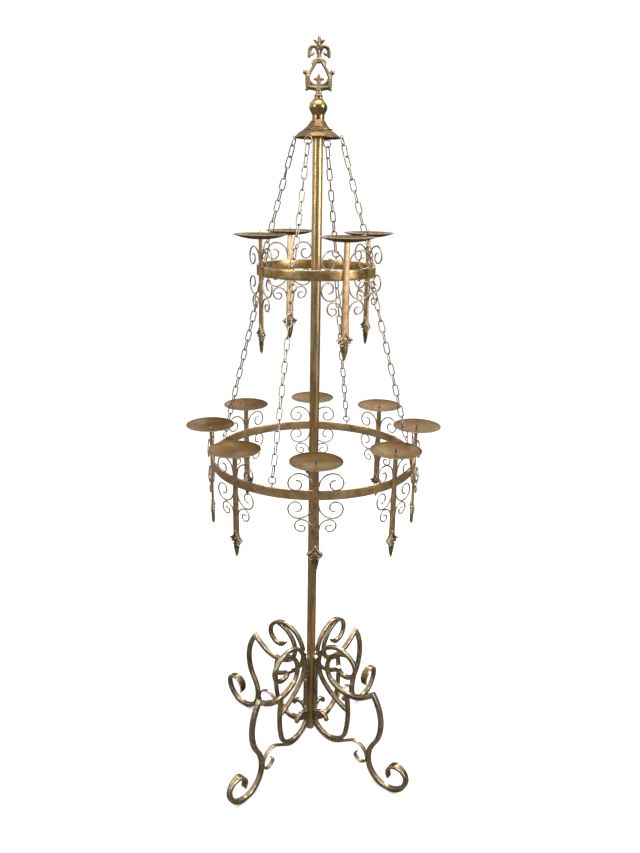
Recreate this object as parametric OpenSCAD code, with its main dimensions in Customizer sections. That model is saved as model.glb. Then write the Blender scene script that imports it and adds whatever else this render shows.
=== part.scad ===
// Floor candle stand, 2.1 m high, with two chain-hung tiers of pricket candle holders.
// Origin: on the floor, on the axis of the pole. +Z up, -Y towards the viewer, +X to the right.
// Azimuths are counted from the front (-Y) towards the right (+X). Lengths in mm, angles in degrees.

/* [Pole] */
// outside diameter of the pole tube
pole_d = 27; // [25:0.5:28]
// wall of the pole tube
pole_wall = 2; // [1.5:0.25:3]
// height of the open bottom end of the pole above the floor
pole_bottom = 66; // [60:1:72]

/* [Canopy] */
// height of the canopy rim above the floor
canopy_z = 1852; // [1830:1:1870]
// outside radius of the canopy rim
canopy_r = 57; // [55:0.5:62]
// thickness of the spun canopy
canopy_wall = 2; // [1.5:0.25:2.5]
// mean radius of the chain eyes on the canopy rim
canopy_eye = 4; // [3.8:0.1:5]
// largest radius of the turned bulb above the canopy
bulb_r = 23.2; // [20:0.2:26]
// radius of the neck under the bulb
bulb_neck_r = 15.8; // [14:0.2:18]

/* [Finial] */
// thickness of the openwork casting
finial_t = 10; // [7:0.5:12]
// scale of the openwork outline
finial_scale = 1; // [0.9:0.05:1.1]

/* [Upper tier] */
// height of the top edge of the upper ring
upper_z = 1542; // [1520:1:1560]
// outside radius of the upper ring
upper_r = 157; // [150:1:165]
// azimuth of the first upper holder
upper_az = 26.5; // [20:0.5:32]

/* [Lower tier] */
// height of the top edge of the lower ring
lower_z = 1018; // [990:1:1040]
// outside radius of the lower ring
lower_r = 289.5; // [280:0.5:300]

/* [Rings] */
// height of the ring bands
band_h = 26; // [22:1:32]
// thickness of the ring bands
band_t = 5; // [4:0.5:6]

/* [Holders] */
// thickness of the flat stem of a holder
stem_t = 5; // [4:0.5:6]
// width of the stem under the dish
stem_top_w = 14; // [12:0.5:16]
// width of the stem at its lower end
stem_low_w = 22; // [18:0.5:24]
// length of the stem below the top edge of the ring
stem_drop = 172; // [166:1:176]
// diameter of the scroll wire
scroll_d = 4; // [3:0.25:5]
// thickness of the cast leaf at the lower end of the stem
leaf_t = 10; // [9:0.5:12]

/* [Dishes] */
// radius of a dish at its rim
dish_r = 67.5; // [62:0.5:72]
// depth of a dish
dish_depth = 11; // [8:0.5:14]
// thickness of a dish
dish_wall = 1.6; // [1.2:0.2:2.4]
// height of the dish rim above the top edge of the ring
dish_up = 80; // [72:1:90]
// height of the spike above the floor of the dish
spike_h = 22; // [16:1:30]
// diameter of the spike at its foot
spike_d = 8; // [5:0.5:10]

/* [Chains] */
// azimuth of the first chain
chain_az = -22.5; // [-26:0.5:-19]
// wire diameter of the chain links and end rings
link_wire = 3.2; // [2.8:0.1:3.4]
// outside width of an oblong link
link_w = 16.5; // [16:0.1:18]
// outside diameter of an end ring
end_ring_d = 23; // [21:0.5:25]
// number of oblong links in an upper chain
upper_links = 10; // [9:1:11]
// number of oblong links in a lower chain
lower_links = 16; // [15:1:17]
// wire diameter of the chain eyes
eye_wire = 2.5; // [2:0.1:2.8]
// mean radius of the chain eyes on the rings
eye_r = 5.5; // [5.2:0.1:6.5]
// gap between an eye and the end ring that hangs in it
eye_play = 0.3; // [0.25:0.05:0.5]
// gap between an end ring and the eye that it holds up
eye_free = 2; // [1.6:0.1:2.2]

/* [Legs] */
// azimuth of the first leg
leg_az = 50; // [45:0.5:55]
// side of the square bar of the legs
leg_bar = 14; // [12:0.5:15]
// thickness of a leg at its forged end
foot_end_t = 4.5; // [3.5:0.5:8]
// width of a leg at its forged end
foot_end_w = 19; // [14:0.5:22]
// side of the square bar of the inner scrolls
scroll_bar = 12; // [10:0.5:13]
// thickness of the strap under the foot loops
strap_t = 5; // [4:0.5:6]
// width of the mounting bars on the pole
mount_w = 12; // [10:0.5:13]
// thickness of the mounting bars
mount_t = 12; // [10:0.5:13]
// height of the lower end of the mounting bars
mount_z0 = 142; // [138:1:146]
// height of the upper end of the mounting bars
mount_z1 = 340; // [335:1:350]
// heights of the two screws of each mounting bar
screw_zs = [158, 258];
// diameter of the screw head
screw_head_d = 9; // [7:0.5:10]
// diameter of the screw shank
screw_d = 5; // [4:0.5:6]

/* [Hidden] */
$fn = 96;
fine = 0.01;                 // overlap that makes pieces of one weldment meet
weld = 0.3;                  // depth of a stem's weld in its ring
link_gap = 0.03;             // gap between one chain link and the next
screw_play = 0.1;            // gap around a screw shank
bend_step = 6;               // largest turn of one facet of a bent bar
pole_r = pole_d / 2;
upper_mid = upper_r - band_t / 2;
lower_mid = lower_r - band_t / 2;
eye_up = eye_r + eye_wire / 2 - 0.1;       // centre of an eye from the edge that it stands on
rim_out = 0.7;                             // swell of the canopy rim
rim_mid = 2.2;                             // height of the swell
canopy_eye_r = canopy_r + rim_out + canopy_eye + eye_wire / 2 - 0.05;
mount_r = pole_r + mount_t;                // outer face of the mounting bars
dish_under = dish_up - dish_depth - dish_wall;
bulb_z = canopy_z + 40;
finial_z = bulb_z + 59.5;

// Bend schedules of the leg bars in the plane of a leg: start [radius, height, heading],
// then [bend radius, turn] for each arc, or [length, 0] for each straight piece.
leg_start = [239.8, 305.6, -53.5];
leg_bends = [[156.8, -49.8], [122.8, -20.8], [101.9, 43], [67.9, 162.7]];
foot_bends = [[30.7, 75.3], [32.4, 147.6]];
shoulder_start = [239.8, 305.6, -143.7];
shoulder_bends = [[36.1, 0], [108.7, -74]];
curl_start = [108.1, 343.9, -89.8];
curl_bends = [[22.1, 77.2], [36.6, 142.9], [70.9, 95.8], [90.1, 88.4], [232.3, 24.2], [8, 0]];
brace_start = [80.9, 283.9, 131.5];
brace_bends = [[62, -71.5], [83, -50], [8, 0]];
loop_start = [66.6, 124.4, 96.6];
loop_bends = [[22.3, 120], [30.4, 87], [65, 134], [314.3, 24.9], [8, 0]];
strap_bends = [[53.4, 0], [39.6, -124], [22.7, -144.9], [10, -100]];

function flip(list) = [for (i = [len(list) - 1 : -1 : 0]) list[i]];
function least(list, i) = min([for (p = list) p[i]]);

// Pose [x, y, heading] after the fraction f of one bend.
function bend(p, m, f) =
    m[1] == 0
    ? [p[0] + m[0] * f * cos(p[2]), p[1] + m[0] * f * sin(p[2]), p[2]]
    : let (s = sign(m[1]), h = p[2] + m[1] * f)
      [p[0] + s * m[0] * (sin(h) - sin(p[2])), p[1] - s * m[0] * (cos(h) - cos(p[2])), h];

function facets(m) = max(1, ceil(abs(m[1]) / bend_step));

// All poses of a bent bar.
function walk(p, moves, i = 0) =
    i == len(moves)
    ? [p]
    : let (m = moves[i], n = facets(m))
      concat([for (k = [0 : n - 1]) bend(p, m, k / n)], walk(bend(p, m, 1), moves, i + 1));

function side(q, off, skew) =
    [q[0] - off * sin(q[2]) + skew * cos(q[2]), q[1] + off * cos(q[2]) + skew * sin(q[2])];

// Outline of a bent bar of thickness w, which thins to w1 from the pose number thin on;
// cut is the angle of the mitre at its start.
module bent(path, w, cut = 0, w1 = 0, thin = 1000) {
    last = len(path) - 1;
    k = w / 2 * tan(cut);
    half = [for (i = [0 : last]) (i <= thin ? w : w + (w1 - w) * (i - thin) / (last - thin)) / 2];
    left = [for (i = [0 : last]) side(path[i], half[i], i == 0 ? k : 0)];
    right = [for (i = [0 : last]) side(path[i], -half[i], i == 0 ? -k : 0)];
    polygon(concat(left, flip(right)));
}

// Turns a child drawn at the front to an azimuth.
module turn_to(az) {
    rotate([0, 0, az]) children();
}

// Raises an outline in [radius, height] into a plate in the radial plane at the front.
module radial(t) {
    rotate([0, 0, -90]) rotate([90, 0, 0]) linear_extrude(t, center = true) children();
}

// Raises an outline in [across, height] into a plate that faces the front, from y0 outwards.
module facing(t, y0) {
    translate([0, -y0, 0]) rotate([90, 0, 0]) linear_extrude(t) children();
}

// Chain eye: a small wire ring in the radial plane at the front.
module eye(r, z, bow = eye_r) {
    translate([0, -r, z]) rotate([0, 90, 0]) rotate_extrude() translate([bow, 0]) circle(d = eye_wire);
}

// Oblong link or round end ring around the Z axis, half is its half length at the wire centre.
module link(half, w) {
    bow = (w - link_wire) / 2;
    flat = half - bow;
    for (s = [0, 1]) mirror([0, 0, s]) translate([0, 0, flat]) rotate([90, 0, 0])
        rotate_extrude(angle = 180) translate([bow, 0]) circle(d = link_wire);
    if (flat > fine) for (s = [-1, 1]) translate([s * bow, 0, -flat]) cylinder(d = link_wire, h = 2 * flat);
}

// Turn of the link k of a chain of n links. The links cross at right angles, but for the first
// few of an even number of links, so that both end rings face the same way.
function spin(k, n) = n % 2 == 1 ? 90 * k : 72 * min(k, 5) + 90 * max(k - 5, 0);

// Chain at the front from the eye around [r0, z0] of radius bow to the eye around [r1, z1].
module chain(r0, z0, bow, r1, z1, n) {
    run = norm([r1 - r0, z0 - z1]) - bow - eye_r;
    lean = atan2(r1 - r0, z0 - z1);
    ring = (end_ring_d - link_wire) / 2;
    top = (link_wire + eye_wire) / 2 + eye_play;
    low = (link_wire + eye_wire) / 2 + eye_free;
    lap = link_wire + link_gap;
    half = round(50 * (run - 4 * ring + (n + 1) * lap + top + low) / n) / 100;
    translate([0, -r0, z0]) rotate([-lean, 0, 0]) translate([0, 0, -bow]) {
        translate([0, 0, top - ring]) link(ring, end_ring_d);
        for (k = [1 : n])
            translate([0, 0, top - 2 * ring + lap - half - (k - 1) * (2 * half - lap)])
            rotate([0, 0, spin(k, n)]) link(half, link_w);
        translate([0, 0, top - 3 * ring + lap - n * (2 * half - lap)]) link(ring, end_ring_d);
    }
}

// Ring band with its chain eyes.
module band(r, z, tops, bottoms) {
    difference() {
        translate([0, 0, z - band_h]) cylinder(r = r, h = band_h, $fn = 180);
        translate([0, 0, z - band_h - 1]) cylinder(r = r - band_t, h = band_h + 2, $fn = 180);
    }
    for (k = [0 : 3]) turn_to(chain_az + 90 * k) {
        if (tops) eye(r - band_t / 2, z + eye_up);
        if (bottoms) eye(r - band_t / 2, z - band_h - eye_up);
    }
}

// Quarter or other arc of scroll wire in the plane that faces the front.
module wire_arc(c, r, a0, a1) {
    translate([c[0], 0, c[1]]) rotate([90, 0, 0]) rotate([0, 0, a0])
        rotate_extrude(angle = a1 - a0) translate([r, 0]) circle(d = scroll_d);
}

module wire_end(p, l) {
    translate([p[0], 0, p[1]]) rotate([0, 90, 0]) cylinder(d = scroll_d, h = l);
}

// Large scroll: leaves the stem upwards, its lowest point is at height 0.
module large_scroll() {
    rise = scroll_d / 2;
    translate([0, 0, rise]) {
        wire_arc([43, 10], 35, 90, 180);
        wire_arc([43, 19], 26, 0, 90);
        wire_arc([50.5, 19], 18.5, -90, 0);
        wire_arc([50.5, 15.5], 15, 180, 270);
        wire_arc([46.5, 15.5], 11, 90, 180);
        wire_end([46.5, 26.5], 4);
    }
}

// Small scroll below the large one, its highest point is at height 0.
module small_scroll() {
    translate([0, 0, -scroll_d / 2]) {
        wire_arc([36, -26.5], 26.5, 90, 180);
        wire_arc([36, -16], 16, 0, 90);
        wire_arc([35.5, -16], 16.5, -90, 0);
        wire_arc([35.5, -23], 9.5, 180, 270);
        wire_arc([33.5, -23], 7.5, 90, 180);
        wire_end([33.5, -15.5], 8);
    }
}

// Holder at the front: stem outside the ring with three pairs of wire scrolls.
module holder(r, z) {
    difference() {
        facing(stem_t + weld, r - weld)
            polygon([[-stem_top_w / 2, z + dish_under], [stem_top_w / 2, z + dish_under],
                     [stem_low_w / 2, z - stem_drop], [-stem_low_w / 2, z - stem_drop]]);
        translate([0, 0, z - band_h]) cylinder(r = r, h = band_h, $fn = 180);
    }
    for (s = [0, 1]) mirror([s, 0, 0]) translate([0, -r - stem_t / 2, z]) {
        large_scroll();
        translate([0, 0, -band_h]) mirror([0, 0, 1]) large_scroll();
        translate([0, 0, -band_h - 45 - scroll_d + fine]) small_scroll();
    }
}

// Dish at the front; its floor is flat where the stem and the spike meet it.
module dish(r, z) {
    flat = 10;
    lip = [for (k = [0 : 9]) let (f = k / 9) [flat + (dish_r - flat) * f, dish_depth * (f * f - 1)]];
    low = [for (p = lip) [p[0], p[1] - dish_wall]];
    translate([0, -r - stem_t / 2, z + dish_up]) rotate_extrude()
        polygon(concat([[0, -dish_depth - dish_wall]], low, flip(lip), [[0, -dish_depth]]));
}

module spike(r, z) {
    translate([0, -r - stem_t / 2, z + dish_up - dish_depth]) {
        cylinder(d = spike_d, h = 2);
        translate([0, 0, 2 - fine]) cylinder(d1 = spike_d * 0.75, d2 = 0.8, h = spike_h - 2);
    }
}

// Cast leaf over the lower end of a stem, with a slot for the stem.
module leaf(r, z) {
    half = [[0, -154], [4.5, -163], [10, -169.5], [22.5, -174], [17, -183], [10.5, -190], [9.5, -196],
            [0, -227]];
    other = [for (i = [len(half) - 2 : -1 : 1]) [-half[i][0], half[i][1]]];
    slot = stem_low_w / 2 + 0.1;
    mid = r + stem_t / 2;
    difference() {
        intersection() {
            facing(leaf_t, mid - leaf_t / 2) translate([0, z]) polygon(concat(half, other));
            radial(80) translate([mid, z]) polygon([
                [-leaf_t / 2, -165], [-leaf_t / 2, -190], [-1, -227], [1, -227], [leaf_t / 2, -190],
                [leaf_t / 2, -165], [3, -154], [-3, -154]]);
        }
        translate([-slot, -r - stem_t, z - stem_drop])
            cube([2 * slot, stem_t + weld, stem_drop - 150]);
    }
}

module pole() {
    color("#8a6f45") difference() {
        translate([0, 0, pole_bottom]) cylinder(d = pole_d, h = canopy_z + 37 - pole_bottom);
        translate([0, 0, pole_bottom - 1])
            cylinder(d = pole_d - 2 * pole_wall, h = canopy_z + 39 - pole_bottom);
        for (k = [0 : 3], z = screw_zs) turn_to(leg_az + 90 * k)
            translate([0, 0, z]) rotate([90, 0, 0]) cylinder(d = screw_d + 2 * screw_play, h = pole_d);
    }
}

module canopy() {
    bore = pole_r + screw_play;
    w = canopy_wall;
    color("#9a8050") translate([0, 0, canopy_z]) rotate_extrude() polygon([
        [canopy_r - 4, 0], [canopy_r, 0], [canopy_r + rim_out, rim_mid], [canopy_r - 1, 4.5],
        [canopy_r - 5, 9], [canopy_r - 10.5, 14], [41, 17.6], [37.5, 18.4], [36.3, 19.6], [36, 21.5], [31, 25.2], [25.5, 31],
        [21, 36.8], [19.2, 40], [4, 40], [4, 37], [bore, 37], [bore, 14], [bore + 3, 14], [bore + 3, 31],
        [bore + 4.5, 31], [29.4 - w / 2, 24.5 - w / 2], [34.6 - w / 2, 19.6 - w / 2], [38.5 - w, 16.6],
        [canopy_r - 11.5 - w / 2, 12.9 - w / 2], [canopy_r - 6 - w / 2, 8 - w / 2], [canopy_r - 4, 4.2]]);
}

module canopy_eyes() {
    color("#6a5636") for (k = [0 : 3]) turn_to(chain_az + 90 * k)
        eye(canopy_eye_r, canopy_z + rim_mid, canopy_eye);
}

module bulb() {
    color("#a58a57") translate([0, 0, bulb_z]) rotate_extrude() polygon([
        [0, -6], [3.8, -6], [3.8, 0], [bulb_neck_r + 1.4, 0], [bulb_neck_r + 1.4, 2], [bulb_neck_r, 3],
        [bulb_neck_r, 14], [bulb_neck_r + 0.6, 16.5], [bulb_r - 4.6, 20.5], [bulb_r - 1.7, 25],
        [bulb_r - 0.3, 29.5], [bulb_r, 32.5], [bulb_r - 0.4, 36], [bulb_r - 2.2, 40.5], [bulb_r - 5.4, 45],
        [bulb_r - 9.4, 49], [11.2, 51.4], [11.2, 53.2], [9.6, 54.4], [9.6, 56], [11, 57], [11, 59.5],
        [4, 59.5], [4, 50], [0, 50]]);
}

// One half of the solid parts of the finial outline, x >= 0.
module finial_half() {
    polygon([[0, 5], [7.5, 5], [9, 9], [14, 12.5], [26, 13], [31, 10], [30.5, 18], [32.5, 26], [32.5, 38],
             [31, 46], [26, 53], [22, 59], [16.5, 67], [18, 74], [14, 80], [10, 80.5], [7, 83], [6, 85],
             [0, 85]]);
    translate([32.5, 51]) circle(r = 6.2, $fn = 48);
    polygon([[0, 80], [6, 80], [5, 93], [7, 98], [5.5, 106], [4.8, 111], [8, 115.5], [15.5, 121],
             [8, 124], [5.5, 128], [0, 135.5]]);
    bent(walk([2, 101, 62], [[11.5, -152], [6, 0]]), 7);
    translate([24, 87.5]) circle(r = 5.2, $fn = 48);
}

module finial_hole() {
    half = [[0, 75], [6, 66.5], [12.5, 57], [18, 47.5], [20.8, 38], [20, 29.5], [15.5, 24], [8, 22.5]];
    other = [for (i = [len(half) - 1 : -1 : 1]) [-half[i][0], half[i][1]]];
    polygon(concat(half, [[0, 25]], other));
}

module finial_lily() {
    half = [[3.2, 45], [5.2, 40.5], [13.3, 37.5], [12.6, 32.5], [8.4, 32], [6.2, 34], [5.2, 30], [5.2, 20]];
    other = [for (i = [len(half) - 1 : -1 : 0]) [-half[i][0], half[i][1]]];
    polygon(concat([[0, 51]], half, other));
}

module finial() {
    color("#b0925a") translate([0, 0, finial_z]) {
        rotate([90, 0, 0]) linear_extrude(finial_t, center = true) scale(finial_scale) {
            difference() {
                union() {
                    finial_half();
                    mirror([1, 0]) finial_half();
                }
                finial_hole();
            }
            finial_lily();
        }
        rotate_extrude() polygon([[0, -9], [3.8, -9], [3.8, 0], [10.5, 0], [10.5, 1.2], [7.2, 3], [7, 6],
                                  [8.5, 9], [0, 9]]);
    }
}

module upper_ring() {
    color("#9c8452") band(upper_r, upper_z, true, true);
}

module lower_ring() {
    color("#9c8452") band(lower_r, lower_z, true, false);
}

module upper_holder(k) {
    color("#94794a") turn_to(upper_az + 90 * k) holder(upper_r, upper_z);
}

module lower_holder(k) {
    color("#94794a") turn_to(45 * k) holder(lower_r, lower_z);
}

module upper_dish(k) {
    color("#8b7a4c") turn_to(upper_az + 90 * k) dish(upper_r, upper_z);
}

module lower_dish(k) {
    color("#8b7a4c") turn_to(45 * k) dish(lower_r, lower_z);
}

module upper_spikes() {
    color("#6a5636") for (k = [0 : 3]) turn_to(upper_az + 90 * k) spike(upper_r, upper_z);
}

module lower_spikes() {
    color("#6a5636") for (k = [0 : 7]) turn_to(45 * k) spike(lower_r, lower_z);
}

module upper_leaves() {
    color("#a88b55") for (k = [0 : 3]) turn_to(upper_az + 90 * k) leaf(upper_r, upper_z);
}

module lower_leaves() {
    color("#a88b55") for (k = [0 : 7]) turn_to(45 * k) leaf(lower_r, lower_z);
}

module upper_chain(k) {
    color("#6f5b3a") turn_to(chain_az + 90 * k)
        chain(canopy_eye_r, canopy_z + rim_mid, canopy_eye, upper_mid, upper_z + eye_up, upper_links);
}

module lower_chain(k) {
    color("#6f5b3a") turn_to(chain_az + 90 * k)
        chain(upper_mid, upper_z - band_h - eye_up, eye_r, lower_mid, lower_z + eye_up, lower_links);
}

leg_path = walk(leg_start, concat(leg_bends, foot_bends));
foot_from = len(walk(leg_start, leg_bends)) - 1;     // pose where the forged end begins
foot_path = [for (i = [foot_from : len(leg_path) - 1]) leg_path[i]];
foot_low = leg_path[foot_from][1];
shoulder_path = walk(shoulder_start, shoulder_bends);
curl_path = walk(curl_start, curl_bends);
loop_path = walk(loop_start, loop_bends);
curl_shift = mount_r + scroll_bar / 2 - least(curl_path, 0);
loop_shift = pole_r + scroll_bar / 2 - 0.3 - least(loop_path, 0);
mitre = 90 - (leg_start[2] - shoulder_start[2]) / 2;

// The strap follows the loop on its outside, a short way up to the pole and down under the bend.
strap_off = (scroll_bar + strap_t) / 2;
strap_pose = bend(bend(loop_start, loop_bends[0], 1), loop_bends[1], 0.88);
strap_path = walk(concat(side(strap_pose, -strap_off, 0), strap_pose[2]),
    concat([[loop_bends[1][0] + strap_off, loop_bends[1][1] * 0.12], [loop_bends[2][0] + strap_off, 89.5]],
           strap_bends));

// Outlines of the bars of a leg in its own plane.
module leg_outline() {
    bent(leg_path, leg_bar, -mitre, foot_end_t, foot_from);
    bent(shoulder_path, leg_bar, mitre);
}

// Forged end of a leg, which spreads to its full width on the way up from the floor.
module foot_end() {
    spread = 30;
    high = 80;
    intersection() {
        radial(foot_end_w) bent(foot_path, leg_bar, 0, foot_end_t, 0);
        facing(400, 100) polygon([
            [leg_bar / 2 - 0.1, foot_low - 1], [foot_end_w / 2, foot_low + spread],
            [foot_end_w / 2, foot_low + high], [-foot_end_w / 2, foot_low + high],
            [-foot_end_w / 2, foot_low + spread], [0.1 - leg_bar / 2, foot_low - 1]]);
    }
}

module loop_outline() {
    translate([loop_shift, 0]) bent(loop_path, scroll_bar);
}

module mount_outline() {
    translate([pole_r - 2, mount_z0]) square([mount_t + 2, mount_z1 - mount_z0]);
}

module curl_outline() {
    translate([curl_shift, 0]) bent(curl_path, scroll_bar);
    bent(walk(brace_start, brace_bends), scroll_bar);
}

module strap_outline() {
    translate([loop_shift, 0]) bent(strap_path, strap_t);
}

// Foot leg with its shoulder bar, mitred at the shoulder and flattened where it stands.
module leg(k) {
    color("#96794a") turn_to(leg_az + 90 * k) {
        intersection() {
            radial(leg_bar) leg_outline();
            translate([-200, -500, 0]) cube([400, 500, 400]);
        }
        foot_end();
    }
}

// Upper scroll with the brace that runs down to the shoulder bar.
module scroll(k) {
    color("#917546") turn_to(leg_az + 90 * k) radial(scroll_bar) difference() {
        curl_outline();
        leg_outline();
        loop_outline();
        mount_outline();
    }
}

// Foot loop that ends in a small curl at the pole.
module loop(k) {
    color("#8d7143") turn_to(leg_az + 90 * k) difference() {
        radial(scroll_bar) difference() {
            loop_outline();
            leg_outline();
        }
        cylinder(r = pole_r, h = mount_z1);
    }
}

// Short straps under the foot loops.
module straps() {
    color("#9c8150") for (k = [0 : 3]) turn_to(leg_az + 90 * k) difference() {
        radial(scroll_bar) difference() {
            strap_outline();
            loop_outline();
            leg_outline();
        }
        cylinder(r = pole_r, h = mount_z1);
    }
}

// Mounting bars that the legs are welded to and that screws hold on the pole.
module mounting_bars() {
    color("#7d663f") for (k = [0 : 3]) turn_to(leg_az + 90 * k) difference() {
        radial(mount_w) mount_outline();
        cylinder(r = pole_r, h = mount_z1 + 1);
        for (z = screw_zs) translate([0, 0, z]) rotate([90, 0, 0])
            cylinder(d = screw_d + 2 * screw_play, h = mount_r + 1);
    }
}

module mounting_screws() {
    r = screw_head_d / 2;
    inner = pole_r - pole_wall - 3;
    color("#c0b08a") for (k = [0 : 3], z = screw_zs) turn_to(leg_az + 90 * k)
        translate([0, 0, z]) rotate([90, 0, 0]) rotate_extrude() polygon([
            [0, inner], [screw_d / 2, inner], [screw_d / 2, mount_r], [r, mount_r], [r, mount_r + 1.2],
            [r * 0.85, mount_r + 2.4], [r * 0.5, mount_r + 3.3], [0, mount_r + 3.6]]);
}

pole();
canopy();
canopy_eyes();
bulb();
finial();
upper_chain(0);  // upper_chain_front
upper_chain(1);  // upper_chain_right
upper_chain(2);  // upper_chain_back
upper_chain(3);  // upper_chain_left
upper_ring();
upper_holder(0);  // upper_holder_front_right
upper_holder(1);  // upper_holder_back_right
upper_holder(2);  // upper_holder_back_left
upper_holder(3);  // upper_holder_front_left
upper_leaves();
upper_dish(0);  // upper_dish_front_right
upper_dish(1);  // upper_dish_back_right
upper_dish(2);  // upper_dish_back_left
upper_dish(3);  // upper_dish_front_left
upper_spikes();
lower_chain(0);  // lower_chain_front
lower_chain(1);  // lower_chain_right
lower_chain(2);  // lower_chain_back
lower_chain(3);  // lower_chain_left
lower_ring();
lower_holder(0);  // lower_holder_front
lower_holder(1);  // lower_holder_front_right
lower_holder(2);  // lower_holder_right
lower_holder(3);  // lower_holder_back_right
lower_holder(4);  // lower_holder_back
lower_holder(5);  // lower_holder_back_left
lower_holder(6);  // lower_holder_left
lower_holder(7);  // lower_holder_front_left
lower_leaves();
lower_dish(0);  // lower_dish_front
lower_dish(1);  // lower_dish_front_right
lower_dish(2);  // lower_dish_right
lower_dish(3);  // lower_dish_back_right
lower_dish(4);  // lower_dish_back
lower_dish(5);  // lower_dish_back_left
lower_dish(6);  // lower_dish_left
lower_dish(7);  // lower_dish_front_left
lower_spikes();
mounting_bars();
mounting_screws();
leg(0);  // leg_front_right
leg(1);  // leg_back_right
leg(2);  // leg_back_left
leg(3);  // leg_front_left
scroll(0);  // scroll_front_right
scroll(1);  // scroll_back_right
scroll(2);  // scroll_back_left
scroll(3);  // scroll_front_left
loop(0);  // loop_front_right
loop(1);  // loop_back_right
loop(2);  // loop_back_left
loop(3);  // loop_front_left
straps();
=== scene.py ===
"""Gilded floor candle stand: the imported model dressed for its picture.

Lengths below are written in millimetres and turned into metres where a piece is made.
Pieces are drawn at the front of the stand, at azimuth 0, and then set around the pole.
"""
import math
import bpy
import bmesh
from mathutils import Matrix, Vector


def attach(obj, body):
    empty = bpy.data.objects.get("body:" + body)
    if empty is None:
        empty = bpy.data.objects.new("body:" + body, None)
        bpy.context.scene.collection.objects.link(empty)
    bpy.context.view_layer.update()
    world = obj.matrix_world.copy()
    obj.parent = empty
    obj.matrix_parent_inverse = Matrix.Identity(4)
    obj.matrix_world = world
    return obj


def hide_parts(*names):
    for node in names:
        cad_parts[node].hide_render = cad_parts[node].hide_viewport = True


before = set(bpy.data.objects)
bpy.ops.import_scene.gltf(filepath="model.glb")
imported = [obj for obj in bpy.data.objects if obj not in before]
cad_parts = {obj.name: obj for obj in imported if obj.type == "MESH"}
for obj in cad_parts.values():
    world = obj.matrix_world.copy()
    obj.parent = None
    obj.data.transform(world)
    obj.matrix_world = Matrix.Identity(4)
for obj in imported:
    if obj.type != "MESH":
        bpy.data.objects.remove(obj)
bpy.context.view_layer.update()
MM = 0.001
SCENE = bpy.context.scene

SIDES = ["front_right", "back_right", "back_left", "front_left"]
POINTS = ["front", "right", "back", "left"]
EIGHT = ["front", "front_right", "right", "back_right", "back", "back_left", "left", "front_left"]

# Sizes of the stand, as in the construction.
POLE_R = 13.5
POLE_WALL = 2
POLE_BOTTOM = 66
CANOPY_Z = 1852
CANOPY_SEAT = 37          # the pole's upper end, above the canopy's rim
BULB_Z = CANOPY_Z + 40
FINIAL_Z = BULB_Z + 59.5
SCROLL_WIRE = 4
UPPER = {"z": 1542, "r": 157, "first": 26.5, "count": 4}
LOWER = {"z": 1018, "r": 289.5, "first": 0, "count": 8}
BAND_H = 26
BAND_T = 5
STEM_T = 5
DISH_UP = 80
DISH_R = 67.5
DISH_DEPTH = 11
DISH_WALL = 1.6
CHAIN_FIRST = -22.5
LEG_FIRST = 50
EYE_R = 5.5
EYE_WIRE = 2.5
EYE_UP = EYE_R + EYE_WIRE / 2 - 0.1
CANOPY_R = 57
RIM_MID = 2.2
CANOPY_EYE = 4
CANOPY_EYE_R = CANOPY_R + 0.7 + CANOPY_EYE + EYE_WIRE / 2 - 0.05
LINK_WIRE = 3.2
LINK_W = 16.5
LINK_GAP = 0.03
END_RING = 23
RING_PLAY = 0.3           # gap between a chain's upper end ring and its eye
EYE_FREE = 2              # gap between a chain's lower end ring and its eye
STEM_DROP = 172
STEM_TOP_W = 14
STEM_LOW_W = 22
LEG_BAR = 14
SCROLL_BAR = 12
STRAP_T = 5
MOUNT_T = 12
MOUNT_W = 12
MOUNT_BOTTOM = 142
MOUNT_TOP = 340
SCREW_HEIGHTS = (158, 258)


# Camera

def camera(place, heading, pitch, roll, lens):
    """Camera at a place in mm; heading turns from +Y towards +X, pitch looks down."""
    h, p, r = (math.radians(v) for v in (heading, pitch, roll))
    ahead = Vector((math.cos(p) * math.sin(h), math.cos(p) * math.cos(h), -math.sin(p)))
    across = Vector((math.cos(h), -math.sin(h), 0))
    above = across.cross(ahead)
    right = across * math.cos(r) + above * math.sin(r)
    up = above * math.cos(r) - across * math.sin(r)
    data = bpy.data.cameras.new("camera")
    data.sensor_width = SENSOR
    data.lens = lens
    data.clip_end = 200
    obj = bpy.data.objects.new("camera", data)
    turn = Matrix((right, up, -ahead)).transposed().to_4x4()
    obj.matrix_world = Matrix.Translation(Vector(place) * MM) @ turn
    SCENE.collection.objects.link(obj)
    SCENE.camera = obj


CAMERA_PLACE = (-43.7, -1958.2, 1724.8)
SENSOR = 36
FOCAL_PIXELS, FRAME_PIXELS = 727.5, 853
camera(CAMERA_PLACE, 1.77, 17.88, 0.93, SENSOR * FOCAL_PIXELS / FRAME_PIXELS)


# Shader and geometry trees

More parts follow.
